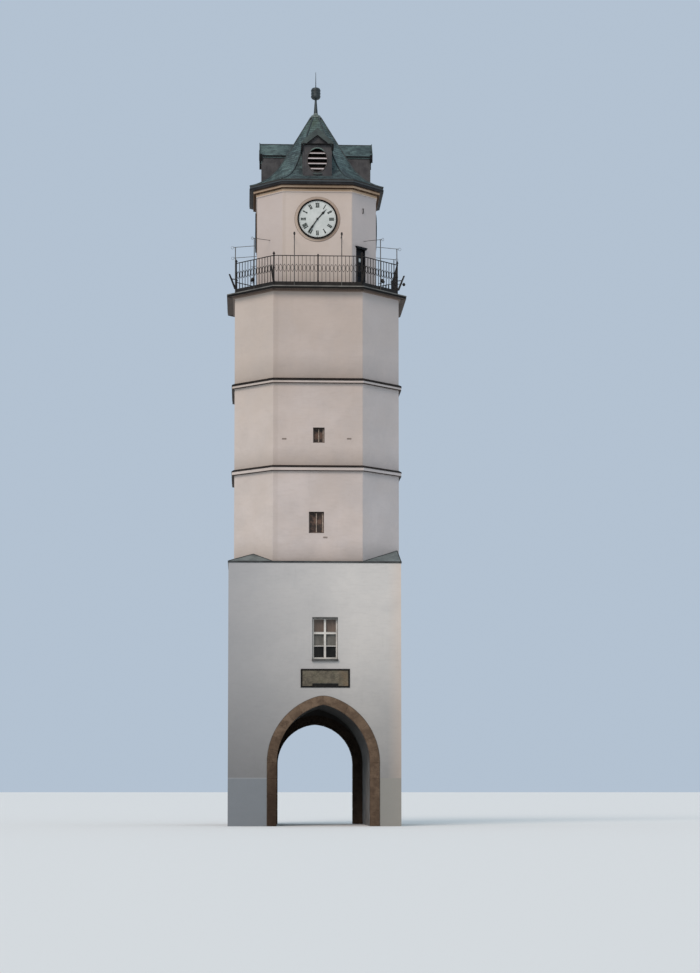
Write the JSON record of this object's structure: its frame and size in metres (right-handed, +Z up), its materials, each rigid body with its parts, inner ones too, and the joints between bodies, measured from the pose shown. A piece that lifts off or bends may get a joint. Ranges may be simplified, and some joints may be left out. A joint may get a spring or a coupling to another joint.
{
  "type": "town gate tower",
  "caption": "Masonry gate tower with a pointed passage, a shaft with cut corners, a railed gallery, a clock drum and a bell-cast copper roof.",
  "frame": {"origin": "on the axis of the shaft at ground level, under the middle of the whole tower", "axes": "+Z up; +X to the right of someone who faces the front of the gate; +Y from the front through the passage to the rear"},
  "size_m": [7.67, 7.67, 32.964],
  "materials": {
    "arch_stone": "dressed sandstone blocks",
    "cornice_timber": "dark brown painted timber",
    "dial_enamel": "white enamel",
    "door_paint": "blue-black paint",
    "dormer_sheet": "brown-grey sheet metal",
    "finial_metal": "dark metal",
    "flashing_lead": "dark weathered sheet metal",
    "floor_timber": "sawn boards",
    "frame_paint": "white paint",
    "gate_plaster": "matt lime plaster, cool grey-white",
    "gutter_metal": "dark sheet metal",
    "hand_iron": "black paint",
    "louvre_paint": "pale grey paint",
    "ochre_plaster": "ochre painted plaster",
    "plaque_bronze": "mottled bronze",
    "railing_iron": "black painted iron",
    "rim_iron": "black iron",
    "roof_copper": "green patinated copper sheet",
    "shaft_plaster": "matt lime plaster, warm cream",
    "sill_stone": "dark stone",
    "slab_edge": "grey sheet metal",
    "string_stone": "painted stone",
    "window_glass": "clear"
  },
  "bodies": {
    "tower": {"clock_dials": "dial_enamel", "clock_rims": "rim_iron", "clock_surrounds": "ochre_plaster", "corner_brackets": "railing_iron", "corner_skirt_roofs": "roof_copper", "dormer_louvres": "louvre_paint", "dormer_roofs": "roof_copper", "dormer_walls": "dormer_sheet", "drum_corner_walls": "shaft_plaster", "drum_face_walls": "shaft_plaster", "eave_cornice": "ochre_plaster", "eave_gutter": "gutter_metal", "finial_ball": "finial_metal", "finial_rod": "finial_metal", "finial_stem": "finial_metal", "fixed_clock_hands": "hand_iron", "front_arch_stones": "arch_stone", "gallery_cornice": "cornice_timber", "gallery_door": "door_paint", "gallery_door_frame": "door_paint", "gallery_slab": "slab_edge", "gate_corner_masonry": "gate_plaster", "gate_front_wall": "gate_plaster", "gate_piers": "gate_plaster", "gate_rear_wall": "gate_plaster", "gate_room_floor": "floor_timber", "gate_side_walls": "gate_plaster", "gate_vault": "gate_plaster", "gate_window_frames": "frame_paint", "gate_window_sills": "sill_stone", "lamp_poles": "railing_iron", "ledge_flashing": "flashing_lead", "lower_shaft_corner_walls": "shaft_plaster", "lower_shaft_face_walls": "shaft_plaster", "lower_shaft_floor": "floor_timber", "lower_string_course": "string_stone", "middle_shaft_corner_walls": "shaft_plaster", "middle_shaft_face_walls": "shaft_plaster", "plaque_border_frame": "railing_iron", "plaque_panel": "plaque_bronze", "railing_front": "railing_iron", "railing_front_left": "railing_iron", "railing_front_right": "railing_iron", "railing_left": "railing_iron", "railing_posts": "railing_iron", "railing_rear": "railing_iron", "railing_rear_left": "railing_iron", "railing_rear_right": "railing_iron", "railing_right": "railing_iron", "rear_arch_stones": "arch_stone", "roof_shell": "roof_copper", "small_window_frames": "frame_paint", "upper_shaft_corner_walls": "shaft_plaster", "upper_shaft_face_walls": "shaft_plaster", "upper_shaft_floors": "floor_timber", "upper_string_course": "string_stone", "window_panes": "window_glass"},
    "minute_hand": {"minute_hand": "hand_iron"},
    "hour_hand": {"hour_hand": "hand_iron"}
  },
  "joints": [
    {"name": "minute_turn", "type": "hinge", "parent": "tower", "child": "minute_hand", "pos_m": [0, -2.56, 25.775], "axis": [0, 1, 0], "continuous": true},
    {"name": "hour_turn", "type": "hinge", "parent": "tower", "child": "hour_hand", "pos_m": [0, -2.56, 25.775], "axis": [0, 1, 0], "continuous": true}
  ],
  "couplings": [
    {"joint": "hour_turn", "follows": "minute_turn", "ratio": 0.083333}
  ]
}
